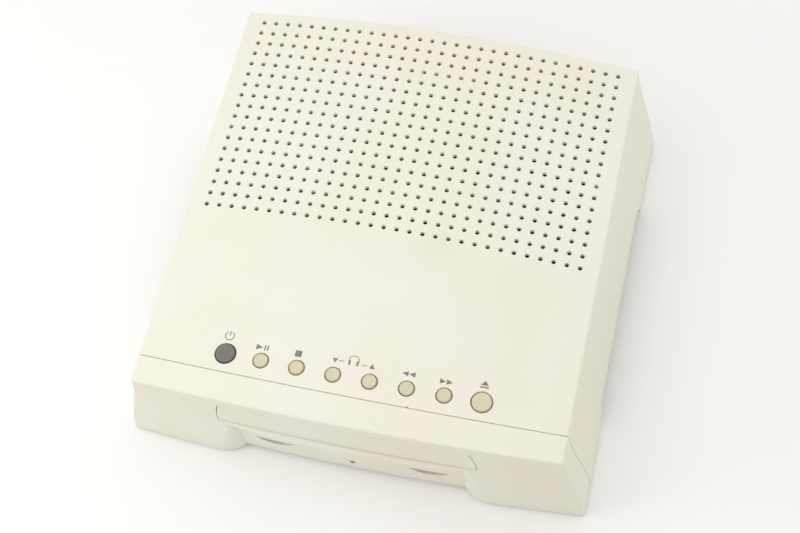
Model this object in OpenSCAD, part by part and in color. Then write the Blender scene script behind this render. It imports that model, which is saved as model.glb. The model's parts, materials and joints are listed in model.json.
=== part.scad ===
// Multimedia game console with a motor-driven disc tray.
// Millimetres, Z up, front towards -Y, origin on the floor under the middle.

/* [Housing] */
// Height from the floor to the middle of the crowned top, mm
overall_height = 80; // [78:1:88]
// Width of the top face between its side edges, mm
top_width = 240; // [234:1:250]
// Front ridge to back edge, measured at the corners of the top, mm
top_depth = 248; // [244:1:258]
// Drop of the crowned top from its middle to its side edges, mm
crown_drop = 5; // [3:0.5:6]
// How far the sides flare out from the top edge to the base, mm
side_flare = 14.4; // [10:0.1:18]
// How far the front legs stand out from the front ridge, mm
front_flare = 4.1; // [3:0.1:6]
// Bow of the front ridge from corner to middle, mm
front_bow = 4.6; // [3:0.2:6]
// Bow of the back edge from corner to middle, mm
back_bow = 3.3; // [1:0.1:4]
// Radius of the upright corners at the top edge, mm
corner_top = 1; // [0.8:0.1:3]
// Radius of the upright corners at the base, mm
corner_base = 1.6; // [1:0.2:6]
// Wall thickness of the moulded shells, mm
wall = 2.5; // [2.2:0.1:3]
// Round along the top edge, mm
edge_round = 1.2; // [0.8:0.2:2.4]
// Height of the lower rim above the floor between the legs, mm
rim_height = 14; // [12:0.5:15]
// Height of the leg undersides above the floor, mm
leg_lift = 1.2; // [0.8:0.1:2]
// Distance of the legs' noses from the middle, mm
leg_nose = 80; // [78:1:84]
// Radius of the legs' inner noses, mm
leg_round = 20; // [16:1:20]
// How far the face between the front legs is set back from the door, mm
set_back = 3; // [2.4:0.1:3.6]
// Height of that face's lower edge above the floor, mm
front_rim = 2.4; // [1.6:0.2:4]
// Gap of the seam between cover and bezel, mm
seam_gap = 0.4; // [0.2:0.1:0.8]
// Clearance between the base pan and the shells, mm
pan_fit = 0.3; // [0.2:0.1:0.6]

/* [Vents] */
// Vent columns
vent_columns = 30; // [24:2:30]
// Vent rows
vent_rows = 18; // [12:1:18]
// Pitch of the vent grid, mm
vent_pitch = 7.5; // [6.8:0.1:7.5]
// Vent hole diameter, mm
vent_hole = 2.6; // [2:0.1:3.2]

/* [Buttons] */
// Spacing of the eight buttons, mm
button_pitch = 20.46; // [19.5:0.1:21]
// Diameter of the six small buttons, mm
small_button = 8.2; // [7.4:0.2:9.4]
// Diameter of the two end buttons, mm
large_button = 11.2; // [10:0.2:13]
// Gap round each button, mm
button_gap = 0.6; // [0.3:0.1:0.8]
// Height of the buttons above the cover, mm
button_rise = 0.9; // [0.3:0.1:1.2]
// Press travel of the buttons, mm
button_travel = 1; // [0.5:0.1:1.2]

/* [Tray door] */
// Half width of the door at its top, mm
door_top_half = 70.5; // [69:0.5:72]
// Half width of the door at its foot, mm
door_foot_half = 74; // [72:0.5:75]
// Height of the door, mm
door_height = 25.4; // [24:0.2:27]
// Distance from the crown down to the door, mm
door_drop = 8.3; // [7:0.1:9]
// Gap round the door, mm
door_gap = 0.5; // [0.3:0.1:0.8]
// Gap over the door, mm
door_top_gap = 0.25; // [0.2:0.05:0.6]
// Thickness of the door, mm
door_thick = 2.6; // [2.2:0.1:3]
// Reach of the lip under the door, mm
lip_reach = 3.2; // [2.4:0.1:3.6]
// Height of the lip in the middle, mm
lip_height = 8.2; // [5:0.2:9]

/* [Rear] */
// How far the rear panel is set into the housing, mm
panel_depth = 8.2; // [8:0.1:10]
// How far the jacks stand out from the rear panel, mm
jack_reach = 7; // [5:0.2:7.2]

/* [Ports] */
// Distance of each controller port from the middle, mm
port_offset = 45; // [43:0.5:46]
// Width of each controller port window, mm
port_width = 24.6; // [23:0.2:26]
// Height of each controller port window in its middle, mm
port_height = 6.4; // [6:0.1:6.8]
// Distance from the door's foot down to the top of the port windows, mm
port_drop = 24.8; // [24:0.1:25]
// Distance from the door's foot down to the indicator, mm
light_drop = 34.4; // [33:0.1:35]

/* [Disc drive] */
// Radius of the disc well, mm
well_radius = 61; // [60.5:0.1:61.5]
// Half width of the tray, mm
tray_half = 64; // [63.5:0.1:64.3]
// Running clearance of the tray in its rails, mm
tray_fit = 0.3; // [0.25:0.05:0.4]
// Half width of the slot that the turntable and pickup pass through, mm
slot_half = 19.5; // [18.5:0.5:21]
// Teeth of the pinion that drives the tray rack
pinion_teeth = 22; // [22:1:22]
// Teeth of the wheel under the pinion
wheel_teeth = 26; // [24:2:26]
// Teeth of the small gear on the pulley
small_teeth = 12; // [12:2:14]
// Gear module, mm
gear_module = 1; // [1:0.1:1]
// Slack between meshing teeth, mm
gear_slack = 0.3; // [0.24:0.02:0.36]
// Radius of the turntable, mm
turntable_radius = 15.5; // [14:0.5:16.5]
// How far the turntable drops to clear the disc, mm
lift_drop = 6.5; // [5:0.5:6.5]
// Radius of the clamp puck, mm
puck_radius = 13.2; // [12:0.2:14]

/* [Boards] */
// Thickness of the circuit boards, mm
board_thick = 1.6; // [1.2:0.2:1.6]
// Underside of the main board above the floor, mm
board_height = 20; // [19.5:0.5:20.5]

/* [Hidden] */
$fn = 36;
half_w = top_width / 2;
edge_z = overall_height - crown_drop;
leg_inner = leg_nose - leg_round;
leg_wall = 4;
front_reach = max(lip_reach, front_flare - front_bow * pow(leg_nose / half_w, 2));
front_y = -(front_bow + top_depth + back_bow - front_reach) / 2;
back_y = front_y + front_bow + top_depth + back_bow;
// shifts that keep the pieces with the front, the back and the top
fy = front_y + 134.17;
by = back_y - 121.83;
dz = overall_height - 80;
seam_y = front_y + 17.4;
seam_bow = 3.1;
flare_drop = edge_z - leg_lift;
lean_top = 26;
fade = 20;
vent_y = back_y - 7.85;
vent_bow = 2.9;
arch_front = -62 + fy;
arch_back = 50 + by;
pan_top = rim_height + 2.5;
board_top = board_height + board_thick;
foot_x = half_w - 21;
foot_front = -104 + fy;
foot_back = 100 + by;
boss_x = half_w - 11;
boss_front = -45 + fy;
boss_back = 35 + by;
bezel_boss_y = front_y + set_back + wall + 6.2;
apron_back = set_back + wall;
screw_r = 1.4;
button_x = [for (i = [0:7]) (i - 3.5) * button_pitch];
board_pins = [for (i = [-3, 0, 3]) i * button_pitch];
switch_board_top = crown_z(button_x[7]) - 8.7;
switch_top = switch_board_top + 2.4;
plunger_top = switch_top + 0.5;
door_top = overall_height - door_drop;
door_foot = door_top - door_height;
port_z = door_foot - port_drop;
light_z = door_foot - light_drop;
panel_y = back_y - panel_depth;
bay_low = 19.5;
bay_high = 57;

// drive, in its own frame: moved by fy and dz
floor_low = 41;
floor_top = 43;
rail_in = tray_half + 0.8;
chassis_in = 68;
chassis_out = 71;
chassis_front = -118;
chassis_back = 50;
wall_top = 68.4;
rear_front = chassis_back + 8 + fy;
rear_back = panel_y - 6;
rear_mid = (rear_front + rear_back) / 2;
tray_low = 57;
tray_top = 66;
well_floor = 60;
flange_low = 60;
flange_high = 62.6;
spindle_y = -62;
pivot_y = 33;
pivot_z = 48;
lift_angle = asin(lift_drop / (pivot_y - spindle_y));
disc_plane = 63.8;
deck_low = 49.5;
deck_top = 52;
rod_z = 54.5;
rod_x = 20;
screw_x = 30;
pinion_r = pinion_teeth * gear_module / 2;
wheel_r = wheel_teeth * gear_module / 2;
small_r = small_teeth * gear_module / 2;
gear_y = -100;
rack_x = -54;
pinion_x = rack_x + pinion_r;
pulley_x = pinion_x + wheel_r + small_r;
motor_x = 6;
pulley_r = 11;
motor_r = 3.5;
cam_y = -83;
pin_z = 53.9;
pin_y = -82;
pin_drop = (pivot_y - pin_y) * sin(lift_angle);
cam_run = 20;

cream = [0.93, 0.91, 0.85];
beige = [0.83, 0.79, 0.67];
grey = [0.42, 0.41, 0.39];
dark = [0.15, 0.15, 0.16];
steel = [0.7, 0.71, 0.73];
green = [0.12, 0.32, 0.2];
white = [0.88, 0.88, 0.86];

// shapes shared by several pieces
function q(x) = pow(x / half_w, 2);
function crown_z(x) = overall_height - crown_drop * q(x);
function s_curve(u) = u <= 0 ? 0 : u >= 1 ? 1 : (1 - cos(180 * u)) / 2;
function ring_z(x, t) = edge_z - t + (crown_z(x) - edge_z) * max(0, 1 - t / fade);
function flare(u) = (min(1, max(0, u)) + s_curve(u)) / 2;
function lean(t) = front_flare * s_curve((t - lean_top) / (edge_z - lean_top - 8));
function face_y(x) = front_y + front_bow * q(x);
function seam_at(x) = seam_y + seam_bow * q(x);
function button_y(x) = seam_at(x) + 10.7;
function half_ring(a, r, xs, n, s) = concat(
  [for (p = [0:n]) let (f = 90 - 90 * p / n) [-(a - r) - r * sin(f), r * (1 - cos(f))]],
  [for (x = xs) [x * s, 0]],
  [for (p = [0:n]) let (f = 90 * p / n) [(a - r) + r * sin(f), r * (1 - cos(f))]]);
function level(t, inset, drop, xs, n, leaning) =
  let (u = flare(t / flare_drop), a = half_w + side_flare * u - inset,
       r = max(0.8, corner_top + (corner_base - corner_top) * u - inset),
       s = (a - r) / (half_w - corner_top),
       h = half_ring(a, r, xs, n, s), m = len(h))
  concat(
    [for (p = h) [p[0], face_y(p[0]) - leaning * lean(t) + inset + p[1], ring_z(p[0], t) - drop]],
    [for (i = [m - 1:-1:0]) let (p = h[i], y = back_y - back_bow * q(p[0]))
      [p[0], y - inset - p[1], ring_z(p[0], t) - drop]]);

// a closed skin over levels of outline, each [depth below the edge, inset, drop]
module loft(levels, xs, n, leaning) {
  rings = [for (l = levels) level(l[0], l[1], l[2], xs, n, leaning)];
  m = len(rings[0]);
  k = len(levels);
  h = m / 2;
  polyhedron(
    points = [for (r = rings) each r],
    faces = concat(
      [for (j = [0:h - 2]) [j, m - 1 - j, m - 2 - j, j + 1]],
      [for (j = [0:h - 2]) let (b = (k - 1) * m) [b + j, b + j + 1, b + m - 2 - j, b + m - 1 - j]],
      [for (l = [0:k - 2]) for (i = [0:m - 1]) [l * m + i, l * m + (i + 1) % m, (l + 1) * m + (i + 1) % m]],
      [for (l = [0:k - 2]) for (i = [0:m - 1]) [l * m + i, (l + 1) * m + (i + 1) % m, (l + 1) * m + i]]));
}
module outer() {
  loft(concat([for (f = [0:30:90]) [edge_round * (1 - cos(f)), edge_round * (1 - sin(f)), 0]],
      [for (t = [7, 13, 20, 27, 34, 41, 48, 55]) [t * flare_drop / 62, 0, 0]],
      [[flare_drop, 0, 0]]),
    [for (i = [-15:15]) i * 7.5], 4, 1);
}
module inner(inset) {
  loft(concat([[0, inset, wall]],
      [for (t = [10, 20, 30, 40, 50]) [t * flare_drop / 62, inset, wall * max(0, 1 - t / 20)]],
      [[flare_drop, inset, 0], [edge_z + 1, inset, 0]]),
    [for (i = [-7:7]) i * 15], 2, 0);
}
module behind_seam(gap) {
  translate([0, 0, -5]) linear_extrude(overall_height + 20)
    polygon(concat([for (x = [-150:15:150]) [x, seam_at(x) + gap]], [[150, 220], [-150, 220]]));
}
module ahead_of_seam(gap) {
  translate([0, 0, -5]) linear_extrude(overall_height + 20)
    polygon(concat([for (x = [150:-15:-150]) [x, seam_at(x) - gap]], [[-150, -220], [150, -220]]));
}
// plan of the room between the left and right legs, bounded by their round noses
module between_legs() {
  middle = face_y(leg_nose) - front_flare + leg_round;
  nose = [for (f = [0:10:90]) [leg_nose - leg_round * sin(f), middle - leg_round * cos(f)]];
  polygon(concat([[leg_nose, -200]], nose, [[leg_inner, 200], [-leg_inner, 200]],
    [for (i = [len(nose) - 1:-1:0]) [-nose[i][0], nose[i][1]]], [[-leg_nose, -200]]));
}
// the room under the machine between its four legs
module under_cut() {
  translate([0, 0, -1]) linear_extrude(rim_height + 1) between_legs();
  translate([-200, 0, 0]) rotate([90, 0, 90]) linear_extrude(400)
    polygon(concat([[arch_front, rim_height], [arch_back, rim_height]],
      [for (f = [15:15:90]) [arch_back + 16 * sin(f), rim_height - (rim_height + 1) * (1 - cos(f))]],
      [for (f = [90:-15:15]) [arch_front - 16 * sin(f), rim_height - (rim_height + 1) * (1 - cos(f))]]));
}
module block(x0, x1, y0, y1, z0, z1) translate([x0, y0, z0]) cube([x1 - x0, y1 - y0, z1 - z0]);
module post(x, y, z0, z1, r) translate([x, y, z0]) cylinder(h = z1 - z0, r = r);
module rod_y(x, z, y0, y1, r) translate([x, y1, z]) rotate([90, 0, 0]) cylinder(h = y1 - y0, r = r);
module rod_x(y, z, x0, x1, r) translate([x0, y, z]) rotate([0, 90, 0]) cylinder(h = x1 - x0, r = r);
module pair() { children(); mirror([1, 0, 0]) children(); }
// moves a drawing of the drive to its place in the housing
module drive() translate([0, fy, dz]) children();
// tilts the traverse down to its rest about its pivot
module lowered() translate([0, pivot_y, pivot_z]) rotate([lift_angle, 0, 0])
  translate([0, -pivot_y, -pivot_z]) children();

// housing
module case_bosses(r) {
  for (x = [-boss_x, boss_x]) for (y = [boss_front, boss_back]) post(x, y, pan_top, overall_height, r);
}
module top_cover() color(cream) intersection() {
  difference() {
    outer();
    difference() {
      inner(wall);
      case_bosses(4);
      block(-108, 108, panel_y - 2, 160, pan_top, 61.5);
      for (x = board_pins) post(x, seam_at(x) + 18.4, switch_board_top, overall_height, 2.6);
    }
    under_cut();
    case_bores();
    block(-103, 103, panel_y - 3, 170, bay_low, bay_high);
    block(-106.2, 106.2, panel_y - 5, panel_y, pan_top - 1, 60.2);
    translate([0, 0, edge_z - 15]) linear_extrude(40) {
      for (i = [0:vent_columns - 1]) for (j = [0:vent_rows - 1])
        let (x = (i - (vent_columns - 1) / 2) * vent_pitch)
          translate([x, vent_y - vent_bow * q(x) - j * vent_pitch]) circle(d = vent_hole);
      for (i = [0:7])
        translate([button_x[i], button_y(button_x[i])]) circle(d = button_size(i) + 2 * button_gap);
    }
  }
  behind_seam(seam_gap / 2);
}
module case_bores() {
  for (x = [-boss_x, boss_x]) for (y = [boss_front, boss_back]) post(x, y, 0, 32, screw_r + 0.05);
}
function door_half(s) = door_top_half + (door_foot_half - door_top_half) * sin(90 * s);
function door_z(s, inset, over) = let (rise = door_height - crown_drop * q(door_top_half) - inset - over)
  door_foot + inset + rise * (1 - s);
// outline of the door in the front view
module door_shape(inset, over) polygon(concat(
  [for (s = [1:-0.125:0]) [door_half(s) - inset, door_z(s, inset, over)]],
  [for (x = [60:-12:-60]) [x, door_top - over - crown_drop * q(x)]],
  [for (s = [0:0.125:1]) [inset - door_half(s), door_z(s, inset, over)]]));
module front_prism(y0, y1) translate([0, y1, 0]) rotate([90, 0, 0]) linear_extrude(y1 - y0) children();
// a plate of half width a that follows the bow of the front, from y0 to y1 behind the ridge
module bowed(a, z0, z1, y0, y1) translate([0, 0, z0]) linear_extrude(z1 - z0)
  polygon(concat([for (i = [-12:12]) let (x = a * i / 12) [x, face_y(x) + y0]],
    [for (i = [12:-1:-12]) let (x = a * i / 12) [x, face_y(x) + y1]]));
// round-nosed lip under the door, fading out towards the legs
module lip() {
  span = 76;
  foot = 2;
  brow = 2;
  xs = [for (i = [-16:16]) (span + 6) * sin(90 * i / 16)];
  z1 = door_foot + 0.3;
  section = [for (x = xs)
    let (f = face_y(x), w = 1 - pow(x / span, 4), y = f - lip_reach * w, back = f + set_back,
         z0 = z1 - foot - (lip_height - foot) * max(0, w), nose = min(brow, z1 - z0 - 0.4))
    concat([[x, f + apron_back, z0]],
      [for (u = [0:0.25:1]) [x, back + (y - back) * sin(90 * u), z0 + (z1 - nose - z0) * u]],
      [for (a = [30:30:90]) [x, y + nose * (1 - cos(a)), z1 - nose * (1 - sin(a))]],
      [[x, f + apron_back, z1]])];
  m = len(section[0]);
  n = len(xs);
  polyhedron(points = [for (s = section) each s],
    faces = concat([[for (i = [m - 1:-1:0]) i]], [[for (i = [0:m - 1]) (n - 1) * m + i]],
      [for (l = [0:n - 2]) for (i = [0:m - 1]) let (a = l * m, k = (i + 1) % m)
        [a + i, a + m + k, a + m + i]],
      [for (l = [0:n - 2]) for (i = [0:m - 1]) let (a = l * m, k = (i + 1) % m)
        [a + i, a + k, a + m + k]]));
}
// the room in front of the set-back face, with the legs' rounded noses left standing
module leg_recess() {
  translate([0, 0, -1]) linear_extrude(door_foot - 0.4) intersection() {
    between_legs();
    polygon(concat([for (x = [-96:8:96]) [x, face_y(x) + set_back]], [[96, -200], [-96, -200]]));
  }
  translate([0, 0, -1]) linear_extrude(front_rim + 1) between_legs();
}
// outline of a controller port, nearly straight above and bowed below
module port_window() {
  a = port_width / 2;
  sag = 0.5;
  polygon(concat([for (u = [-1:0.125:1]) [a * u, -sag * (1 - u * u)]],
    [for (u = [0.875:-0.125:-0.875]) [a * u, -port_height * (1 - u * u)]]));
}
module bezel_skin() difference() {
  union() {
    intersection() {
      difference() {
        outer();
        difference() {
          inner(wall);
          for (x = [-20, 20]) {
            post(x, bezel_boss_y, pan_top, 40, 4);
            block(x - 1.2, x + 1.2, front_y + set_back + 1, bezel_boss_y - 2, pan_top, 40);
          }
        }
      }
      ahead_of_seam(seam_gap / 2);
    }
    bowed(leg_nose - 2, front_rim, door_foot - 0.3, 0.5, apron_back);
  }
  leg_recess();
}
module front_bezel() color(cream) difference() {
  union() {
    bezel_skin();
    lip();
  }
  front_prism(front_y - 20, front_y + 12) door_shape(0, 0);
  for (x = [-port_offset, port_offset])
    translate([x, 0, port_z]) front_prism(front_y - 20, front_y + 12) port_window();
  rod_y(0, light_z, front_y - 10, front_y + 10, 1.7);
  for (x = [-20, 20]) post(x, bezel_boss_y, 0, 32, screw_r + 0.05);
}
pillars = [[-58, -88], [58, -88], [-58, 40], [58, 40]];
board_posts = [[-94, -104 + fy], [94, -104 + fy], [-94, 44 + fy], [94, 44 + fy],
  [98, rear_back - 14], [-18, rear_back - 14]];
supply_posts = [for (x = [-106, -36]) for (y = [rear_front + 6, rear_back - 6]) [x, y]];
module base_pan() color(cream) difference() {
  union() {
    intersection() {
      inner(wall + pan_fit);
      block(-200, 200, -200, 200, leg_lift, pan_top);
    }
    for (p = pillars) post(p[0], p[1] + fy, pan_top - 0.5, floor_low + dz, 4.5);
    for (p = board_posts) post(p[0], p[1], pan_top - 0.5, board_height, 3.2);
    for (p = supply_posts) post(p[0], p[1], pan_top - 0.5, board_height, 3.2);
  }
  under_cut();
  bowed(leg_nose + 1, -1, 40, -40, apron_back + pan_fit);
  block(-2.2, 2.2, front_y, front_y + apron_back + 2.6, 0, 30);
  pair() {
    block(port_offset - 14.2, port_offset + 14.2, front_y, -115.7 + fy, 0, 40);
    block(leg_inner + leg_wall, foot_x + 21, -120 + fy, -82 + fy, leg_lift + wall, 60);
    block(leg_inner + leg_wall, foot_x + 21, arch_back + 20, back_y - 9.5, leg_lift + wall, pan_top - 2);
    for (y = [foot_front, foot_back]) post(foot_x, y, 0, leg_lift + 1, 7);
  }
  case_bores();
  for (x = [-20, 20]) post(x, bezel_boss_y, 0, 32, screw_r + 0.05);
  for (p = pillars) post(p[0], p[1] + fy, 29 + dz, 60, screw_r + 0.05);
  for (p = board_posts) post(p[0], p[1], 15, 30, screw_r + 0.05);
  for (p = supply_posts) post(p[0], p[1], 15, 30, screw_r + 0.05);
  block(-40, 40, fy - 15, 15 + fy, 0, rim_height + 1.2);
  block(-37, 37, fy - 12, 12 + fy, 0, 30);
}
module expansion_cover() color(cream) difference() {
  block(-39.7, 39.7, fy - 14.7, 14.7 + fy, rim_height, rim_height + 1.2);
  for (x = [-12, 0, 12]) block(x - 3, x + 3, fy - 11, fy - 9.6, 0, rim_height + 0.6);
}
module rubber_feet() color(dark)
  for (x = [-foot_x, foot_x]) for (y = [foot_front, foot_back]) post(x, y, 0, leg_lift + 1, 6.9);
module pan_screw(x, y, z, len) {
  difference() {
    post(x, y, z - 1.6, z, 2.7);
    block(x - 1.8, x + 1.8, y - 0.35, y + 0.35, z - 2, z - 0.8);
    block(x - 0.35, x + 0.35, y - 1.8, y + 1.8, z - 2, z - 0.8);
  }
  post(x, y, z - 0.1, z + len, screw_r);
}
module top_screw(x, y, z, len) translate([x, y, z]) rotate([180, 0, 0]) pan_screw(0, 0, 0, len);
module case_screws() color(steel) {
  for (x = [-boss_x, boss_x]) for (y = [boss_front, boss_back]) pan_screw(x, y, rim_height, 14);
  for (x = [-20, 20]) pan_screw(x, bezel_boss_y, rim_height, 14);
}

// buttons
function button_size(i) = i == 0 || i == 7 ? large_button : small_button;
module button(i, c) {
  r = button_size(i) / 2;
  x = button_x[i];
  t = crown_z(x);
  top = t + button_rise;
  foot = plunger_top + button_travel + 0.3;
  color(c) translate([x, button_y(x), 0]) rotate_extrude()
    polygon([[0, foot], [1.8, foot], [1.8, t - wall - 1.8], [r + 1.1, t - wall - 1.8],
      [r + 1.1, t - wall - 0.4], [r, t - wall - 0.4], [r, top - 0.5], [r - 0.15, top - 0.15], [r - 0.5, top],
      [r * 0.7, top - 0.08], [r * 0.4, top - 0.2], [0, top - 0.25]]);
}
module power_button() button(0, grey);
module play_button() button(1, beige);
module stop_button() button(2, beige);
module volume_down_button() button(3, beige);
module volume_up_button() button(4, beige);
module rewind_button() button(5, beige);
module forward_button() button(6, beige);
module eject_button() button(7, beige);
module button_board() color(green) difference() {
  translate([0, 0, switch_board_top - board_thick]) linear_extrude(board_thick)
    polygon(concat([for (x = [-85:17:85]) [x, button_y(x) - 8]],
      [for (x = [85:-17:-85]) [x, button_y(x) + 11]]));
  for (x = board_pins) post(x, seam_at(x) + 18.4, 0, 100, 1.2);
}
module button_switches() color(dark) for (x = button_x) {
  block(x - 3, x + 3, button_y(x) - 3, button_y(x) + 3, switch_board_top, switch_top);
  post(x, button_y(x), switch_top - 0.2, plunger_top, 1.6);
}
// sockets behind the port windows, with a shelf that sits on the main board
module controller_ports() color(dark) pair() {
  mouth = front_y + apron_back + 1.3;
  bottom = mouth + 5;
  difference() {
    union() {
      block(port_offset - 13.9, port_offset + 13.9, mouth, -116.2 + fy, rim_height, port_z + 3);
      block(port_offset - 13.9, port_offset + 13.9, -117 + fy, -109 + fy, board_top, port_z + 3);
    }
    translate([port_offset, 0, port_z]) front_prism(mouth - 5, bottom) port_window();
  }
  for (i = [-1.5:1.5]) rod_y(port_offset + 3 * i, port_z - 2.8, bottom - 2, bottom + 0.5, 0.45);
}
// lens in the front face, with a guide that leads the light down from the main board
module status_light() color([0.2, 0.25, 0.2]) {
  back = front_y + apron_back + 0.2;
  rod_y(0, light_z, front_y + set_back - 0.3, back + 0.5, 1.5);
  block(-1.5, 1.5, back, back + 2, light_z - 1.5, board_top + 3);
  block(-1.5, 1.5, back, -113 + fy, board_top, board_top + 3);
}

// electronics
module main_board() color(green) difference() {
  union() {
    block(-100, 100, -116 + fy, 52 + fy, board_height, board_top);
    block(-24, 104, 50 + fy, rear_back, board_height, board_top);
  }
  for (p = pillars) post(p[0], p[1] + fy, 0, 60, 5.2);
  for (p = board_posts) post(p[0], p[1], 0, 60, 1.7);
}
module board_chips() color(dark) {
  chip_back = rear_front + 2 + 0.35 * (rear_back - rear_front);
  block(-78, -42, -48 + fy, -12 + fy, board_top, board_top + 3);
  block(-30, -2, -30 + fy, -2 + fy, board_top, board_top + 2.6);
  block(4, 28, -34 + fy, -10 + fy, board_top, board_top + 2.6);
  for (i = [0:3]) block(-84 + i * 22, -68 + i * 22, 4 + fy, 12 + fy, board_top, board_top + 2.4);
  for (i = [0:3]) block(-84 + i * 22, -68 + i * 22, 18 + fy, 26 + fy, board_top, board_top + 2.4);
  for (x = [30, 62]) block(x, x + 22, rear_front + 2, chip_back, board_top, board_top + 2.6);
  block(-14, 10, rear_front + 4, chip_back + 4, board_top, board_top + 2.6);
  for (x = [-90, -76]) post(x, -80 + fy, board_top, board_top + 8, 4);
  for (y = [-50, -38, -26]) post(95, y + fy, board_top, board_top + 9, 4);
}
module processor_heat_sink() color(steel) difference() {
  block(-79, -41, -49 + fy, -11 + fy, board_top + 3, floor_low + dz - 5.4);
  for (i = [0:6]) block(-79 + 3 + i * 5, -79 + 5.6 + i * 5, -60 + fy, fy, board_top + 5.5, board_top + 20);
}
module card(y0, y1, n) {
  block(38, 46, y0 + 4, y1 - 4, board_top, board_top + 8);
  block(36, 90, y0, y1, board_top + 8, board_top + 8 + 1.2);
  for (i = [0:n - 1]) let (y = y0 + 5 + i * (y1 - y0 - 6) / n)
    block(52, 84, y, y + 8, board_top + 9.2, board_top + 11.4);
}
module rom_card() color(green) card(-62 + fy, -22 + fy, 3);
module memory_card() color(green) card(-14 + fy, 18 + fy, 2);
module expansion_socket() color(white) difference() {
  block(-34, 34, fy - 5, 5 + fy, pan_top + 0.3, board_height);
  block(-31, 31, fy - 1, 1 + fy, 0, board_height - 1);
}
module board_screws() color(steel) {
  for (p = board_posts) top_screw(p[0], p[1], board_top, 4.5);
  for (p = supply_posts) top_screw(p[0], p[1], board_top, 4.5);
}
module supply_board() color([0.45, 0.33, 0.15]) difference() {
  block(-112, -30, rear_front, rear_back, board_height, board_top);
  for (p = supply_posts) post(p[0], p[1], 0, 60, 1.7);
}
module supply_transformer() color([0.75, 0.6, 0.2]) {
  y0 = rear_front + 8;
  y1 = rear_back - 10;
  inset = (y1 - y0) / 8;
  block(-74, -40, y0 + inset, y1 - inset, board_top, board_top + 30);
  block(-70, -44, y0, y1, board_top + 5, board_top + 25);
}
module supply_capacitors() color([0.1, 0.12, 0.3]) {
  post(-99.5, rear_mid, board_top, board_top + 30, 6);
  post(-87.5, rear_front + 11.6, board_top, board_top + 24, 4.5);
  post(-78, rear_front + 11, board_top, board_top + 16, 3.2);
  post(-34.6, rear_mid, board_top, board_top + 20, 3.2);
}
module supply_heat_sink() color(steel) difference() {
  block(-84, -42, rear_front + 2, rear_front + 6.6, board_top, board_top + 32);
  for (i = [0:6]) block(-81 + i * 5.6, -78 + i * 5.6, rear_front - 8, rear_front + 4.4, 0, 90);
}
module mains_inlet() color(dark) {
  difference() {
    union() {
      block(-92, -68, panel_y - 14.5, panel_y + 0.2, 26, 44);
      block(-96, -64, panel_y, panel_y + 1.6, 25, 45);
    }
    block(-84.3, -75.7, panel_y - 10, panel_y + 5, 30.7, 39.3);
    for (x = [-84.3, -75.7]) rod_y(x, 35, panel_y - 10, panel_y + 5, 4.3);
  }
  for (x = [-84.3, -75.7]) rod_y(x, 35, panel_y - 10.5, panel_y - 1, 1.2);
}
module power_cable() color(dark) translate([0, rear_front + 10, board_top])
  rotate([90, 0, 0]) linear_extrude(9)
  polygon([[-31, 0], [-31, 4], [-28, 7], [-20, 7], [-17, 4], [-17, 0],
    [-18.6, 0], [-18.6, 3.4], [-20.6, 5.4], [-27.4, 5.4], [-29.4, 3.4], [-29.4, 0]]);

// rear panel and its sockets
jack_x = [29, 42, 55];
din_x = [69, 83, 97];
module rear_panel() color(steel) difference() {
  block(-106, 106, panel_y - 1.6, panel_y, pan_top, 60);
  block(-92.3, -67.7, panel_y - 3, panel_y + 3, 25.7, 44.3);
  for (x = jack_x) rod_y(x, 32, panel_y - 3, panel_y + 3, 4.5);
  for (x = din_x) rod_y(x, 29.5, panel_y - 3, panel_y + 3, 5.5);
  block(-13.3, 5.3, panel_y - 3, panel_y + 3, 24.7, 35.3);
  rod_y(17, 28, panel_y - 3, panel_y + 3, 3.4);
  block(37.2, 46.8, panel_y - 3, panel_y + 3, 47.2, 50.8);
  for (i = [0:11]) block(-24 + i * 4, -22.4 + i * 4, panel_y - 3, panel_y + 3, 44, 54);
}
module audio_video_jacks() color(dark) for (x = jack_x) difference() {
  union() {
    block(x - 5.4, x + 5.4, panel_y - 16, panel_y - 1.6, board_top, 38);
    rod_y(x, 32, panel_y - 2, panel_y + jack_reach, 4.1);
  }
  rod_y(x, 32, panel_y - 6, panel_y + jack_reach + 1, 1.7);
}
module round_sockets() color(dark) for (x = din_x) difference() {
  union() {
    block(x - 6.6, x + 6.6, panel_y - 14, panel_y - 1.6, board_top, 37);
    rod_y(x, 29.5, panel_y - 2, panel_y + 1, 5.2);
  }
  difference() {
    rod_y(x, 29.5, panel_y - 6, panel_y + 2, 4.5);
    rod_y(x, 29.5, panel_y - 8, panel_y + 3, 3.5);
  }
  for (a = [40, 90, 140, 220, 320])
    rod_y(x + 2.2 * cos(a), 29.5 + 2.2 * sin(a), panel_y - 6, panel_y + 2, 0.5);
}
module monitor_socket() color(steel) difference() {
  union() {
    block(-18, 10, panel_y - 14, panel_y - 1.6, board_top, 38);
    translate([-4, 0, 30]) front_prism(panel_y - 2, panel_y + 5)
      polygon([[-8, -4], [8, -4], [9, 4], [-9, 4]]);
    for (x = [-16, 8]) rod_y(x, 30, panel_y + 0.001, panel_y + 4, 2.2);
  }
  translate([-4, 0, 30]) front_prism(panel_y + 4.2, panel_y + 6)
    polygon([[-7.3, -3.3], [7.3, -3.3], [8.2, 3.3], [-8.2, 3.3]]);
  for (r = [-2, 0, 2]) for (i = [-2:2])
    rod_y(-4 + i * 2.6 + r * 0.3, 30 + r, panel_y, panel_y + 6, 0.5);
}
module headphone_jack() color(dark) difference() {
  union() {
    block(12, 22, panel_y - 14, panel_y - 1.6, board_top, 33);
    rod_y(17, 28, panel_y - 2, panel_y + 2, 3.1);
  }
  rod_y(17, 28, panel_y - 12, panel_y + 3, 1.8);
}
module switch_body() color(steel) difference() {
  block(34, 50, panel_y - 8, panel_y - 1.6, 45, 53);
  block(37, 47, panel_y - 6, panel_y, 47, 51);
}
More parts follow.
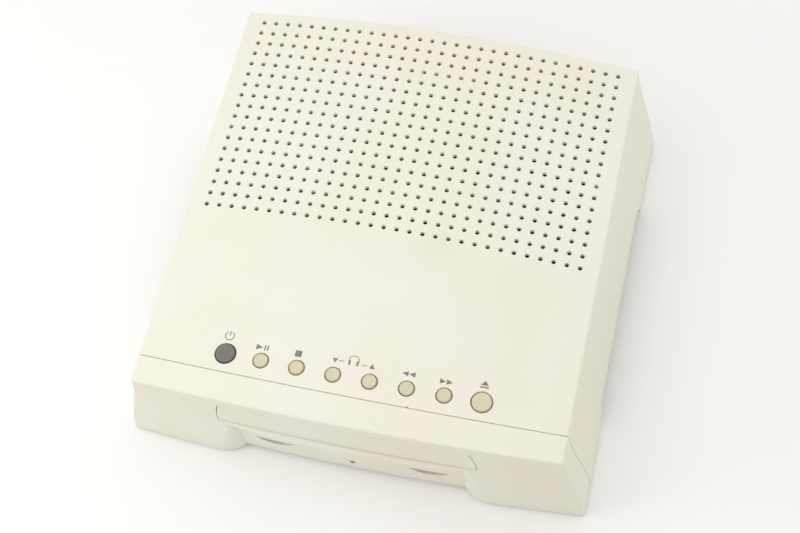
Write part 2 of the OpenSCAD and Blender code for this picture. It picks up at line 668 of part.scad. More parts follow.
module display_switch() color(dark) {
  block(37.9, 42, panel_y - 5.4, panel_y - 2, 47.4, 50.6);
  block(38.4, 41.5, panel_y - 2.5, panel_y + 2, 47.6, 50.4);
}

// disc drive, fixed pieces
module drive_chassis() color(dark) drive() difference() {
  union() {
    block(-chassis_out, chassis_out, chassis_front, -86, floor_low, floor_top);
    block(-chassis_out, chassis_out, 40, chassis_back, floor_low, floor_top);
    pair() {
      block(50, chassis_out, -87, chassis_back, floor_low, floor_top);
      block(chassis_in, chassis_out, chassis_front, chassis_back, floor_low, wall_top - 3);
      block(chassis_in, chassis_out, -88, chassis_back, floor_low, wall_top);
      block(rail_in, chassis_in + 0.5, chassis_front, chassis_back, flange_low - 2.3, flange_low - tray_fit);
      block(rail_in, chassis_in + 0.5, chassis_front, chassis_back,
        flange_high + tray_fit, flange_high + 2.3);
      block(50.5, 54.5, pivot_y - 5, pivot_y + 5, floor_top - 0.5, 52);
    }
    post(pinion_x, gear_y, floor_top - 0.5, 55.6, 2);
    post(pinion_x, gear_y, floor_top - 0.5, 45.2, 3.5);
    post(pulley_x, gear_y, floor_top - 0.5, 52.2, 2);
    post(pulley_x, gear_y, floor_top - 0.5, 45.2, 3.5);
    block(-36, 58, -97, -95.4, floor_top - 0.5, 45.4);
  }
  pair() rod_x(pivot_y, pivot_z, 49, 56, 2.3);
  for (p = pillars) post(p[0], p[1], 0, 100, screw_r + 0.2);
  post(motor_x, gear_y, 0, 60, 2);
}
module drive_screws() color(steel) drive() for (p = pillars) top_screw(p[0], p[1], floor_top, 12);
module clamp_bridge() color(steel) drive() difference() {
  union() {
    block(-chassis_out, chassis_out, -84, -40, wall_top, wall_top + 1.2);
    for (y = [-84, -41.2]) block(-60, 60, y, y + 1.2, wall_top, wall_top + 4.5);
    post(0, spindle_y, wall_top, wall_top + 2, puck_radius + 4);
  }
  post(0, spindle_y, 0, 100, puck_radius + 1);
  for (x = [-42, 42]) post(x, spindle_y, 0, 100, 9);
}
module clamp_puck() color(white) drive() translate([0, spindle_y, 0]) rotate_extrude()
  polygon([[8, disc_plane + 1], [puck_radius, disc_plane + 1], [puck_radius, wall_top + 2.3],
    [puck_radius + 3.2, wall_top + 2.3], [puck_radius + 3.2, wall_top + 3.6],
    [puck_radius - 2, wall_top + 3.8], [0, wall_top + 3.8], [0, wall_top + 0.4], [8, wall_top + 0.4]]);
module gear_shape(teeth, phase) {
  m = gear_module;
  rp = teeth * m / 2;
  rb = rp * cos(25);
  ra = rp + 0.9 * m;
  rr = rp - 1.25 * m;
  deg = 180 / PI;
  function inv(r) = let (a = acos(min(1, rb / r))) tan(a) - a / deg;
  half = 90 / teeth - gear_slack / 4 / rp * deg;
  rs = [for (i = [0:4]) max(rb, rr) + (ra - max(rb, rr)) * i / 4];
  function turn(r) = half + (inv(rp) - inv(r)) * deg;
  rotate(phase) polygon([for (k = [0:teeth - 1]) let (c = k * 360 / teeth) each concat(
    [[rr * cos(c - turn(rs[0]) - 0.5), rr * sin(c - turn(rs[0]) - 0.5)]],
    [for (r = rs) [r * cos(c - turn(r)), r * sin(c - turn(r))]],
    [for (i = [4:-1:0]) let (r = rs[i]) [r * cos(c + turn(r)), r * sin(c + turn(r))]],
    [[rr * cos(c + turn(rs[0]) + 0.5), rr * sin(c + turn(rs[0]) + 0.5)]])]);
}
module tray_gear() color(white) drive() translate([pinion_x, gear_y, 0]) difference() {
  union() {
    translate([0, 0, 52.2]) linear_extrude(3.6) gear_shape(pinion_teeth, 180);
    translate([0, 0, 49.8]) linear_extrude(2.6) gear_shape(wheel_teeth, 0);
    translate([0, 0, 45.5]) cylinder(h = 5, r = 3.6);
  }
  translate([0, 0, 40]) cylinder(h = 30, r = 2.3);
}
// a pulley disc with the groove for the belt
module grooved(r) translate([0, 0, 45.5]) rotate_extrude()
  polygon([[0, 0], [r + 0.8, 0], [r + 0.8, 0.5], [r - 0.6, 1.1], [r - 0.6, 2.7], [r + 0.8, 3.3],
    [r + 0.8, 3.8], [0, 3.8]]);
module pulley_gear() color(white) drive() translate([pulley_x, gear_y, 0]) difference() {
  union() {
    translate([0, 0, 49]) linear_extrude(3.6) gear_shape(small_teeth, 15);
    grooved(pulley_r);
  }
  translate([0, 0, 40]) cylinder(h = 30, r = 2.3);
}
module motor_pulley() color(steel) drive() translate([motor_x, gear_y, 0]) {
  grooved(motor_r);
  translate([0, 0, 32]) cylinder(h = 14, r = 1);
}
module belt_shape(grow) hull() {
  translate([pulley_x, gear_y]) circle(r = pulley_r - 0.3 + grow, $fn = 48);
  translate([motor_x, gear_y]) circle(r = motor_r - 0.3 + grow, $fn = 24);
}
module drive_belt() color(dark) drive() translate([0, 0, 46.7]) linear_extrude(1.4) difference() {
  belt_shape(1.3);
  belt_shape(0.1);
}
module loading_motor() color(steel) drive() difference() {
  post(motor_x, gear_y, board_top + 6.4 - dz, floor_low, 10);
  post(motor_x, gear_y, 31, 60, 1.3);
}

// disc drive, tray
module rack() {
  pitch = PI * gear_module;
  first = -1;
  last = 45;
  w = pitch / 4 - gear_slack / 4;
  t = tan(25) * gear_module;
  translate([0, 0, tray_low - 4]) linear_extrude(4.01) polygon(concat(
    [[rack_x - 5.5, gear_y + first * pitch - 1], [rack_x - 1.25 * gear_module, gear_y + first * pitch - 1]],
    [for (k = [first:last]) let (y = gear_y + (k + 0.5) * pitch) each [
      [rack_x - 1.25 * gear_module, y - w - 1.25 * t], [rack_x + 0.9 * gear_module, y - w + 0.9 * t],
      [rack_x + 0.9 * gear_module, y + w - 0.9 * t], [rack_x - 1.25 * gear_module, y + w + 1.25 * t]]],
    [[rack_x - 1.25 * gear_module, gear_y + (last + 1) * pitch],
      [rack_x - 5.5, gear_y + (last + 1) * pitch]]));
}
module disc_tray() color(white) drive() difference() {
  union() {
    block(-tray_half, tray_half, -129.5, 12, tray_low, tray_top);
    pair() {
      block(48, tray_half, 10, 46, tray_low, tray_top);
      block(tray_half - 1, tray_half + 3.4, -112, 46, flange_low, flange_high);
    }
    rack();
  }
  post(0, spindle_y, well_floor, 100, well_radius);
  post(0, spindle_y, well_floor - 1, 100, 41);
  post(0, spindle_y, 0, 100, slot_half);
  block(-slot_half, slot_half, spindle_y, 60, 0, 100);
  pair() {
    post(46, -118, well_floor, 100, 9);
    post(46, -6, well_floor, 100, 9);
    block(22, 44, 3, 30, tray_low - 10, tray_top - 2.5);
  }
}
module tray_front() color(cream) {
  intersection() {
    front_prism(front_y - 10, front_y + 20) door_shape(door_gap, door_top_gap);
    bowed(90, 0, 100, 0, door_thick);
  }
  for (x = [-40, 40]) block(x - 8, x + 8, face_y(32) + 1, -129.5 + fy, 58.5 + dz, 64.5 + dz);
  for (x = [-56, -20, 20, 56])
    block(x - 0.8, x + 0.8, face_y(x) + 1.5, face_y(x) + 5.5, door_foot + 2, tray_low + dz - 0.5);
}

// disc drive, traverse
module traverse_deck() color(steel) drive() lowered() difference() {
  union() {
    block(-46, 46, -76, 38, deck_low, deck_top);
    pair() {
      rod_x(pivot_y, pivot_z, 44, 55.5, 2);
      block(42, 46, pivot_y - 4, pivot_y + 4, pivot_z - 3, deck_top);
      block(rod_x - 3, rod_x + 3, -52, -49, deck_top - 0.5, 56.4);
      block(rod_x - 3, rod_x + 3, 18, 21, deck_top - 0.5, 56.4);
      block(9, 15, -78, -75, deck_low, pin_z + 2);
      rod_y(12, pin_z, pin_y - 3, -77, 1.6);
    }
    block(screw_x - 4, screw_x + 4, 12.5, 14, deck_top - 0.5, rod_z + 5);
  }
  block(-16, 16, -46, 16, 0, 100);
  block(-26, 34, -47, 10, 0, 100);
  block(screw_x - 6, screw_x + 6, 14, 31, 0, 100);
  post(0, spindle_y, 0, 100, 5);
  for (x = [-rod_x, rod_x]) rod_y(x, rod_z, -60, 40, 1.5);
  rod_y(screw_x, rod_z, 0, 40, 1.8);
}
module spindle_motor() color(steel) drive() lowered() difference() {
  post(0, spindle_y, 41, deck_low, 13);
  post(0, spindle_y, 43, 60, 1.3);
}
module turntable() color(dark) drive() lowered() translate([0, spindle_y, 0]) rotate_extrude()
  polygon([[0, 44], [1, 44], [1, 53], [3, 53], [3, 61], [turntable_radius, 61],
    [turntable_radius, disc_plane], [8.6, disc_plane], [8.6, disc_plane - 0.6], [7.4, disc_plane - 0.6],
    [7.3, disc_plane + 0.9], [6, disc_plane + 2], [0, disc_plane + 2]]);
module pickup_sled() color(dark) drive() lowered() difference() {
  union() {
    block(-24, 24, -46, -28, 52.6, 56.2);
    block(-13, 13, -45, -31, 54, 59.8);
    block(22, screw_x + 3.5, -42, -34, 52.6, 56.2);
  }
  for (x = [-rod_x, rod_x]) rod_y(x, rod_z, -60, 0, 1.8);
  rod_y(screw_x, rod_z, -60, 0, 1.8);
}
module pickup_lens() color([0.3, 0.45, 0.6]) drive() lowered() {
  post(0, -38, 59.8, 61.2, 4.2);
  translate([0, -38, 61.2]) intersection() {
    cylinder(h = 1, r = 2.6);
    translate([0, 0, -3.2]) sphere(r = 4.1);
  }
}
module guide_rods() color(steel) drive() lowered() for (x = [-rod_x, rod_x]) rod_y(x, rod_z, -52, 21, 1.5);
module lead_screw() color(steel) drive() lowered() translate([screw_x, 15.5, rod_z]) rotate([90, 0, 0])
  rotate_extrude() polygon(concat([[0, 0], [1.2, 0], [1.2, 6]],
    [for (y = [6:3:57]) each [[1.5, y + 0.5], [1.5, y + 2], [1.2, y + 2.5], [1.2, y + 3]]], [[0, 60]]));
module sled_motor() color(steel) drive() lowered() difference() {
  rod_y(screw_x, rod_z, 14, 30, 5.5);
  rod_y(screw_x, rod_z, 10, 18, 1.6);
}
module cam_slider() color(white) drive() difference() {
  union() {
    block(-30, 36, cam_y, cam_y + 2, 43.4, 56.3);
    block(-30, 36, -95, cam_y + 1, 43.4, 44.9);
  }
  for (x = [-12, 12]) translate([0, cam_y + 5, 0]) rotate([90, 0, 0]) linear_extrude(10)
    polygon([[x - 3.4, pin_z - pin_drop - 2], [x + 2, pin_z - pin_drop - 2], [x + cam_run + 2, pin_z - 2],
      [x + cam_run + 2, pin_z + 2], [x + cam_run - 2, pin_z + 2], [x - 3.4, pin_z - pin_drop + 2]]);
}
module drive_board() color(green) drive() {
  block(-50, 50, chassis_back, chassis_back + 1.6, 36, 62);
  for (x = [-30, 5]) block(x - 8, x + 8, chassis_back + 1.6, chassis_back + 3.6, 50, 60);
}
module drive_ribbon() color([0.7, 0.7, 0.72]) translate([10, fy, 0]) rotate([90, 0, 90]) linear_extrude(36)
  polygon([[51.6, 47 + dz], [52.4, 47 + dz], [52.4, 30], [57.4, 25], [57.4, board_top], [56.6, board_top],
    [56.6, 24.7], [51.6, 29.7]]);

top_cover();
front_bezel();
base_pan();
expansion_cover();
rubber_feet();
case_screws();
power_button();
play_button();
stop_button();
volume_down_button();
volume_up_button();
rewind_button();
forward_button();
eject_button();
button_board();
button_switches();
controller_ports();
status_light();
main_board();
board_chips();
processor_heat_sink();
rom_card();
memory_card();
expansion_socket();
board_screws();
supply_board();
supply_transformer();
supply_capacitors();
supply_heat_sink();
mains_inlet();
power_cable();
rear_panel();
audio_video_jacks();
round_sockets();
monitor_socket();
headphone_jack();
switch_body();
display_switch();
drive_chassis();
drive_screws();
clamp_bridge();
clamp_puck();
disc_tray();
tray_front();
tray_gear();
pulley_gear();
motor_pulley();
drive_belt();
loading_motor();
traverse_deck();
spindle_motor();
turntable();
pickup_sled();
pickup_lens();
guide_rods();
lead_screw();
sled_motor();
cam_slider();
drive_board();
drive_ribbon();
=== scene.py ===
import json
import math

import bpy
from mathutils import Matrix, Vector

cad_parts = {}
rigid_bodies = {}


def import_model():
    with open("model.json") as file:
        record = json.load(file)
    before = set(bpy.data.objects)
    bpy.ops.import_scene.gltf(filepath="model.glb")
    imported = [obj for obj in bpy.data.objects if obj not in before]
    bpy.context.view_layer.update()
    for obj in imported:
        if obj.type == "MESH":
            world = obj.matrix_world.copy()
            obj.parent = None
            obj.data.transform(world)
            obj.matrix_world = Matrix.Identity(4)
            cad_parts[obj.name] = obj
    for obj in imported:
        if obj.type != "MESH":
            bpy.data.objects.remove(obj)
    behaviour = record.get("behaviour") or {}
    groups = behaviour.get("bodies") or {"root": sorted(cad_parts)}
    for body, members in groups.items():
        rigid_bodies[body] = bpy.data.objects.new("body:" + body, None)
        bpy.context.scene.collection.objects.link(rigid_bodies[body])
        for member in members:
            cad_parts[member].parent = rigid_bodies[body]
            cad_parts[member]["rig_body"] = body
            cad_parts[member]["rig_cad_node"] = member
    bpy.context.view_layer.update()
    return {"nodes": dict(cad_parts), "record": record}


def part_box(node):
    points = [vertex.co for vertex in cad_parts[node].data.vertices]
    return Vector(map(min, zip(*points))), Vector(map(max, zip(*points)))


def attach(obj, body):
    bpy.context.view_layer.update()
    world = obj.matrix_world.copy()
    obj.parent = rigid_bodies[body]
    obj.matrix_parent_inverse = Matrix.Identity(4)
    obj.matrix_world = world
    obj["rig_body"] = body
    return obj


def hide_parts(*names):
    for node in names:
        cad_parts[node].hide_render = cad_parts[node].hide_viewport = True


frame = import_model()
mm = 0.001

# camera of the photograph
cameraView = {
    "place": (0.14648, -0.37087, 0.83275),
    "azimuth": 21.57,    # degrees to the right of the front
    "elevation": 63.91,  # degrees above the floor
    "roll": -9.50,
    "lens": 67.75,       # mm on a 36 mm wide sensor
}
turn = (Matrix.Rotation(math.radians(cameraView["azimuth"]), 4, "Z")
        @ Matrix.Rotation(math.radians(90 - cameraView["elevation"]), 4, "X")
        @ Matrix.Rotation(math.radians(cameraView["roll"]), 4, "Z"))
bpy.ops.object.camera_add(location=cameraView["place"], rotation=turn.to_euler())
bpy.context.object.data.lens = cameraView["lens"]
bpy.context.scene.camera = bpy.context.object
bpy.context.scene.view_settings.view_transform = "Standard"
print("camera set")


# shader sums: a wire is an output socket that can be used in expressions
class Wire:
    def __init__(self, tree, socket):
        self.tree = tree
        self.socket = socket

    def add(self, kind, settings=None, sockets=None, output=0):
        node = self.tree.nodes.new(kind)
        for name, value in (settings or {}).items():
            setattr(node, name, value)
        for key, value in (sockets or {}).items():
            plug(self.tree, node.inputs[key], value)
        return Wire(self.tree, node.outputs[output])

    # another output of the same node
    def beside(self, output):
        return Wire(self.tree, self.socket.node.outputs[output])

    def sum(self, operation, first, second=0.0):
        return self.add("ShaderNodeMath", {"operation": operation}, {0: first, 1: second})

    def __add__(self, other):
        return self.sum("ADD", self, other)

    def __radd__(self, other):
        return self.sum("ADD", other, self)

    def __sub__(self, other):
        return self.sum("SUBTRACT", self, other)

    def __rsub__(self, other):
        return self.sum("SUBTRACT", other, self)

    def __mul__(self, other):
        return self.sum("MULTIPLY", self, other)

    def __rmul__(self, other):
        return self.sum("MULTIPLY", other, self)

    def __truediv__(self, other):
        return self.sum("DIVIDE", self, other)

    def __abs__(self):
        return self.sum("ABSOLUTE", self)

    def __lt__(self, other):
        return self.sum("LESS_THAN", self, other)

    def __gt__(self, other):
        return self.sum("GREATER_THAN", self, other)

    def held(self):
        return self.add("ShaderNodeClamp", None, {"Value": self})


def plug(tree, socket, value):
    if isinstance(value, Wire):
        tree.links.new(value.socket, socket)
    elif isinstance(value, (tuple, list)) and len(value) == 3 and socket.type == "RGBA":
        socket.default_value = (*value, 1)
    else:
        socket.default_value = value


def srgb(red, green, blue):
    return tuple(((c / 255 + 0.055) / 1.055) ** 2.4 for c in (red, green, blue))


def startFinish(name):
    finish = bpy.data.materials.new(name)
    finish.use_nodes = True
    tree = finish.node_tree
    place = tree.nodes.new("ShaderNodeTexCoord")
    return finish, Wire(tree, place.outputs["Object"])


def setShader(finish, values):
    shader = finish.node_tree.nodes["Principled BSDF"]
    for key, value in values.items():
        plug(finish.node_tree, shader.inputs[key], value)
    return finish


def grain(place, scale, detail=2.0):
    sockets = {"Vector": place, "Scale": scale, "Detail": detail}
    return place.add("ShaderNodeTexNoise", None, sockets)


def mixColours(place, factor, first, second):
    settings = {"data_type": "RGBA"}
    return place.add("ShaderNodeMix", settings, {0: factor, 6: first, 7: second}, 2)


def bump(place, height, strength, distance):
    sockets = {"Height": height, "Strength": strength, "Distance": distance}
    return place.add("ShaderNodeBump", None, sockets)


def flatPlace(place):
    x = place.add("ShaderNodeSeparateXYZ", None, {0: place})
    return x, x.beside(1)


# aged cream plastic, with marks where a piece has them: wear, and on the top also painted shade and
# painted light at the vents
creamLook = {
    "cream": srgb(243, 240, 229),
    "yellowed": srgb(241, 236, 218),
    "worn": srgb(205, 199, 178),
    "patch": 11.0,          # yellowed patches in each metre
    "patchGain": 2.2,
    "patchFrom": 0.6,
    "mottle": 240.0,
    "wornFrom": 0.62,
    "wornMost": 0.35,
    "texture": 2600.0,      # moulded grains in each metre
    "textureBump": 0.12,
    "textureDepth": 0.06 * mm,
    "rough": 0.46,
    "roughSpread": 0.14,
    "shine": 0.42,
}


def creamPlastic(name, marks=()):
    look = creamLook
    finish, place = startFinish(name)
    patch = (grain(place, look["patch"], 3.0) * look["patchGain"] - look["patchFrom"]).held()
    mottle = grain(place, look["mottle"])
    worn = (mottle - look["wornFrom"]).held() * look["wornMost"]
    colour = mixColours(place, patch, look["cream"], look["yellowed"])
    colour = mixColours(place, worn, colour, look["worn"])
    for mark, shade in marks:
        colour = mixColours(place, mark(place), colour, shade)
    texture = grain(place, look["texture"], 1.5)
    values = {
        "Base Color": colour,
        "Roughness": look["rough"] + look["roughSpread"] * mottle,
        "Normal": bump(place, texture, look["textureBump"], look["textureDepth"]),
        "Specular IOR Level": look["shine"],
    }
    return setShader(finish, values)


# scratches and spots, each a mask from a place on the cover in metres
scratchLook = {
    "wander": 1.6 * mm,     # off a straight line
    "wanders": 60.0,        # in each metre
    "breaks": 160.0,
    "breakGain": 3.0,
    "breakFrom": 0.9,
}


def hairline(start, end, width, strength):
    look = scratchLook
    length = math.dist(start, end)
    dx = (end[0] - start[0]) / length
    dy = (end[1] - start[1]) / length

    def mask(place):
        x, y = flatPlace(place)
        along = (x - start[0]) * dx + (y - start[1]) * dy
        aside = (y - start[1]) * dx - (x - start[0]) * dy
        wander = (grain(place, look["wanders"]) - 0.5) * look["wander"]
        line = (1 - abs(aside + wander) / width).held()
        broken = (grain(place, look["breaks"]) * look["breakGain"] - look["breakFrom"]).held()
        return line * (along > 0) * (along < length) * broken * strength
    return mask


def spot(middle, radius, strength):
    def mask(place):
        x, y = flatPlace(place)
        right = x - middle[0]
        back = y - middle[1]
        far = right * right + back * back
        return (1 - far / (radius * radius)).held() * strength
    return mask


# painted shade in a ring round each vent hole's rim, standing in for a rounded edge, and painted light on
# the holes' walls
ventLook = {
    "rows": 18,
    "columns": 30,
    "pitch": 7.5 * mm,
    "firstRow": 121.7 * mm,
    "bow": 2.9 * mm,
    "half": 120.0 * mm,
    "hole": 1.32 * mm,      # from a hole's middle to its wall
    "reach": 1.8 * mm,      # and to the end of the painted rim shade
    # painted shade colour for the vent rims, also the dirt in the seam nick
    "dustAndShade": srgb(150, 134, 96),
    "dustAndShadeMost": 0.28,
    # painted light: a pale colour for the holes' walls, which lie in shade
    "wall": srgb(250, 243, 222),
    "wallMost": 0.7,
}


def fromHole(place):
    look = ventLook
    x, y = flatPlace(place)
    bow = x / look["half"] * (x / look["half"]) * look["bow"]
    row = (y - look["firstRow"] + bow) / look["pitch"]
    aside = x.sum("FRACT", x / look["pitch"]) - 0.5
    along = row.sum("FRACT", row + 0.5) - 0.5
    far = x.sum("SQRT", aside * aside + along * along) * look["pitch"]
    inRows = (row > 0.5 - look["rows"]) * (row < 0.5)
    return far, inRows * (abs(x) < look["columns"] / 2 * look["pitch"])


# painted shade: a darker ring round each vent hole's rim, fading outward, standing in for a rounded edge
def ventRimShade(place):
    far, field = fromHole(place)
    ring = ((ventLook["reach"] - far) / (ventLook["reach"] - ventLook["hole"])).held()
    return ring * (far > ventLook["hole"]) * field * ventLook["dustAndShadeMost"]


# painted light: the vent holes' walls made paler where they lie in shade
def ventLitWall(place):
    far, field = fromHole(place)
    return (far < ventLook["hole"]) * field * ventLook["wallMost"]


scratch = hairline((0.0870, 0.0396), (0.1188, 0.0247), 0.00045, 0.55)
scuff = hairline((-0.0130, 0.0356), (-0.0080, 0.0366), 0.0007, 0.35)
seamNick = spot((0.0333, -0.1084), 0.0009, 0.75)
faintStain = spot((0.0272, -0.0114), 0.016, 0.10)
# the first two marks are painted shade round the vent rims and painted light on the holes' walls; the
# rest are a scratch, spots, a scuff, a seam nick and a faint stain
topMarks = [
    (ventRimShade, ventLook["dustAndShade"]),
    (ventLitWall, ventLook["wall"]),
    (scratch, creamLook["worn"]),
    (spot((0.0232, -0.0479), 0.0005, 0.6), creamLook["worn"]),
    (spot((-0.1041, -0.0791), 0.0005, 0.6), creamLook["worn"]),
    (scuff, creamLook["worn"]),
    (seamNick, ventLook["dustAndShade"]),
    (faintStain, creamLook["worn"]),
]

plainLook = {
    "mottle": 190.0,
    "mottleGain": 1.8,
    "mottleFrom": 0.4,
    "roughSpread": 0.15,
    "texture": 1800.0,
    "textureBump": 0.12,
    "textureDepth": 0.05 * mm,
}


def plainPlastic(name, colour, shade, rough, texture=plainLook["texture"], rise=plainLook["textureBump"]):
    look = plainLook
    finish, place = startFinish(name)
    mottle = grain(place, look["mottle"], 3.0)
    shaded = (mottle * look["mottleGain"] - look["mottleFrom"]).held()
    fine = grain(place, texture, 1.5)
    values = {
        "Base Color": mixColours(place, shaded, colour, shade),
        "Roughness": rough + look["roughSpread"] * (mottle - 0.5),
        "Normal": bump(place, fine, rise, look["textureDepth"]),
    }
    return setShader(finish, values)


metalLook = {
    "strokes": 900.0,
    "strokeBump": 0.08,
    "strokeDepth": 0.03 * mm,
    "tarnish": 70.0,
    "tarnishGain": 1.6,
    "tarnishFrom": 0.3,
    "roughSpread": 0.18,
}


def brushedMetal(name, colour, shade, rough, stretch):
    look = metalLook
    finish, place = startFinish(name)
    lines = place.add("ShaderNodeMapping", None, {"Vector": place, "Scale": stretch})
    strokes = grain(lines, look["strokes"], 3.0)
    tarnish = grain(place, look["tarnish"], 3.0)
    dulled = (tarnish * look["tarnishGain"] - look["tarnishFrom"]).held()
    values = {
        "Base Color": mixColours(place, dulled, colour, shade),
        "Metallic": 1.0,
        "Roughness": rough + look["roughSpread"] * (strokes - 0.5),
        "Normal": bump(place, strokes, look["strokeBump"], look["strokeDepth"]),
    }
    return setShader(finish, values)


boardLook = {
    "tin": srgb(190, 184, 150),
    "trackWidth": 0.012,
    "trackLength": 1.3,
    "trackRow": 0.16,
    "rowShift": 0.37,
    "rowSquash": 1.7,
    "cells": 150.0,         # cross tracks in each metre
    "cellLine": 0.03,
    "cellMost": 0.4,
    "trackMost": 0.55,
    "vias": 260.0,
    "viaSize": 0.16,
    "viaMost": 0.8,
    "rough": 0.34,
    "viaRough": 0.2,
    "trackBump": 0.2,
    "trackDepth": 0.04 * mm,
    "coat": 0.25,
}


def circuitBoard(name, mask, copper, pitch):
    look = boardLook
    finish, place = startFinish(name)
    rows = {"offset": look["rowShift"], "squash": look["rowSquash"]}
    tracks = place.add("ShaderNodeTexBrick", rows, {
        "Vector": place, "Scale": pitch, "Mortar Size": look["trackWidth"],
        "Brick Width": look["trackLength"], "Row Height": look["trackRow"],
        "Color1": (0, 0, 0), "Color2": (0, 0, 0), "Mortar": (1, 1, 1)}, "Fac")
    cells = place.add("ShaderNodeTexVoronoi", {"feature": "DISTANCE_TO_EDGE"},
                      {"Vector": place, "Scale": look["cells"]})
    vias = place.add("ShaderNodeTexVoronoi", None, {"Vector": place, "Scale": look["vias"]})
    dots = vias < look["viaSize"]
    lines = (tracks + (cells < look["cellLine"]) * look["cellMost"]).held()
    colour = mixColours(place, lines * look["trackMost"], mask, copper)
    colour = mixColours(place, dots * look["viaMost"], colour, look["tin"])
    values = {
        "Base Color": colour,
        "Roughness": look["rough"] + look["viaRough"] * dots,
        "Normal": bump(place, lines, look["trackBump"], look["trackDepth"]),
        "Coat Weight": look["coat"],
    }
    return setShader(finish, values)


tapeLook = {
    "light": srgb(214, 170, 60),
    "dark": srgb(178, 132, 34),
    "turns": 260.0,
    "uneven": 1.2,
    "rough": 0.28,
    "roughSpread": 0.2,
    "turnBump": 0.2,
    "turnDepth": 0.1 * mm,
}


def tapeWound(name):
    look = tapeLook
    finish, place = startFinish(name)
    turns = place.add("ShaderNodeTexWave", {"bands_direction": "Z"}, {
        "Vector": place, "Scale": look["turns"], "Distortion": look["uneven"], "Detail": 2.0})
    values = {
        "Base Color": mixColours(place, turns, look["light"], look["dark"]),
        "Roughness": look["rough"] + look["roughSpread"] * turns,
        "Normal": bump(place, turns, look["turnBump"], look["turnDepth"]),
    }
    return setShader(finish, values)


ribbonLook = {
    "valley": srgb(170, 170, 174),
    "rib": srgb(205, 205, 208),
    "ribs": 250.0,
    "rough": 0.5,
    "ribShine": 0.1,
    "ribBump": 0.5,
    "ribDepth": 0.3 * mm,
}


def ribbonJacket(name):
    look = ribbonLook
    finish, place = startFinish(name)
    ribs = place.add("ShaderNodeTexWave", {"bands_direction": "X"},
                     {"Vector": place, "Scale": look["ribs"], "Distortion": 0.0})
    values = {
        "Base Color": mixColours(place, ribs, look["valley"], look["rib"]),
        "Roughness": look["rough"] - look["ribShine"] * ribs,
        "Normal": bump(place, ribs, look["ribBump"], look["ribDepth"]),
    }
    return setShader(finish, values)


lensLook = {
    "tint": srgb(86, 92, 90),
    "deep": 0.6,
    "haze": 400.0,
    "rough": 0.12,
    "roughSpread": 0.06,
    "coat": 0.6,
}


def lensGlass(name):
    look = lensLook
    finish, place = startFinish(name)
    haze = grain(place, look["haze"], 3.0)
    deep = tuple(look["deep"] * c for c in look["tint"])
    values = {
        "Base Color": mixColours(place, haze, look["tint"], deep),
        "Roughness": look["rough"] + look["roughSpread"] * haze,
        "Coat Weight": look["coat"],
    }
    return setShader(finish, values)


inkLook = {
    "ink": srgb(124, 124, 120),
    "rubbed": srgb(168, 167, 160),
    "wear": 2200.0,
    "wearGain": 2.6,
    "wearFrom": 1.15,
    "wearMost": 0.5,
    "rough": 0.5,
    "roughSpread": 0.1,
}


def printedInk(name):
    look = inkLook
    finish, place = startFinish(name)
    wear = (grain(place, look["wear"], 3.0) * look["wearGain"] - look["wearFrom"]).held()
    values = {
        "Base Color": mixColours(place, wear * look["wearMost"], look["ink"], look["rubbed"]),
        "Roughness": look["rough"] + look["roughSpread"] * wear,
    }
    return setShader(finish, values)


lengthways = (1, 14, 14)    # strokes of a brushed metal
upright = (14, 14, 1)
finishes = {
    "cream_plastic": creamPlastic("cream_plastic"),
    "top_plastic": creamPlastic("top_plastic", topMarks),
    "beige_plastic": plainPlastic("beige_plastic", srgb(222, 214, 184), srgb(215, 206, 172), 0.42),
    "grey_plastic": plainPlastic("grey_plastic", srgb(122, 120, 113), srgb(110, 108, 101), 0.44),
    "dark_plastic": plainPlastic("dark_plastic", srgb(44, 44, 46), srgb(34, 34, 36), 0.5),
    "chip_plastic": plainPlastic("chip_plastic", srgb(34, 34, 37), srgb(48, 48, 50), 0.55),
    "white_plastic": plainPlastic("white_plastic", srgb(226, 224, 216), srgb(218, 214, 203), 0.4),
    "circuit_board": circuitBoard("circuit_board", srgb(22, 82, 48), srgb(64, 128, 78), 60.0),
    "supply_circuit_board": circuitBoard("supply_circuit_board", srgb(156, 118, 66),
                                         srgb(190, 150, 92), 36.0),
    "transformer_tape": tapeWound("transformer_tape"),
    "plated_steel": brushedMetal("plated_steel", srgb(198, 199, 202), srgb(172, 172, 172), 0.36,
                                 lengthways),
    "aluminium": brushedMetal("aluminium", srgb(208, 209, 212), srgb(188, 189, 192), 0.42, upright),
    "rubber": plainPlastic("rubber", srgb(52, 52, 52), srgb(40, 40, 40), 0.82, 900.0, 0.4),
    "cable_jacket": ribbonJacket("cable_jacket"),
    "clear_lens": lensGlass("clear_lens"),
    "printed_ink": printedInk("printed_ink"),
    "socket_yellow": plainPlastic("socket_yellow", srgb(214, 176, 44), srgb(202, 160, 34), 0.4),
    "socket_white": plainPlastic("socket_white", srgb(228, 226, 220), srgb(214, 211, 202), 0.4),
    "socket_red": plainPlastic("socket_red", srgb(176, 44, 40), srgb(158, 36, 34), 0.4),
    "contact_gold": brushedMetal("contact_gold", srgb(214, 178, 96), srgb(190, 150, 74), 0.3,
                                 lengthways),
}
slotOf = {row["node"]: row["material_slot"] for row in frame["record"]["subparts"]}
bodyOf = {node: body for body, nodes in frame["record"]["behaviour"]["bodies"].items()
          for node in nodes}
for nodeName, piece in frame["nodes"].items():
    piece.data.materials.clear()
    piece.data.materials.append(finishes[slotOf[nodeName]])
print("finishes made:", len(finishes))


# modelling helpers
def clearChoice():
    if bpy.context.object and bpy.context.object.mode != "OBJECT":
        bpy.ops.object.mode_set(mode="OBJECT")
    bpy.ops.object.select_all(action="DESELECT")


def pick(piece):
    clearChoice()
    piece.select_set(True)
    bpy.context.view_layer.objects.active = piece


def smooth(piece, degrees):
    pick(piece)
    bpy.ops.object.shade_smooth_by_angle(angle=math.radians(degrees))


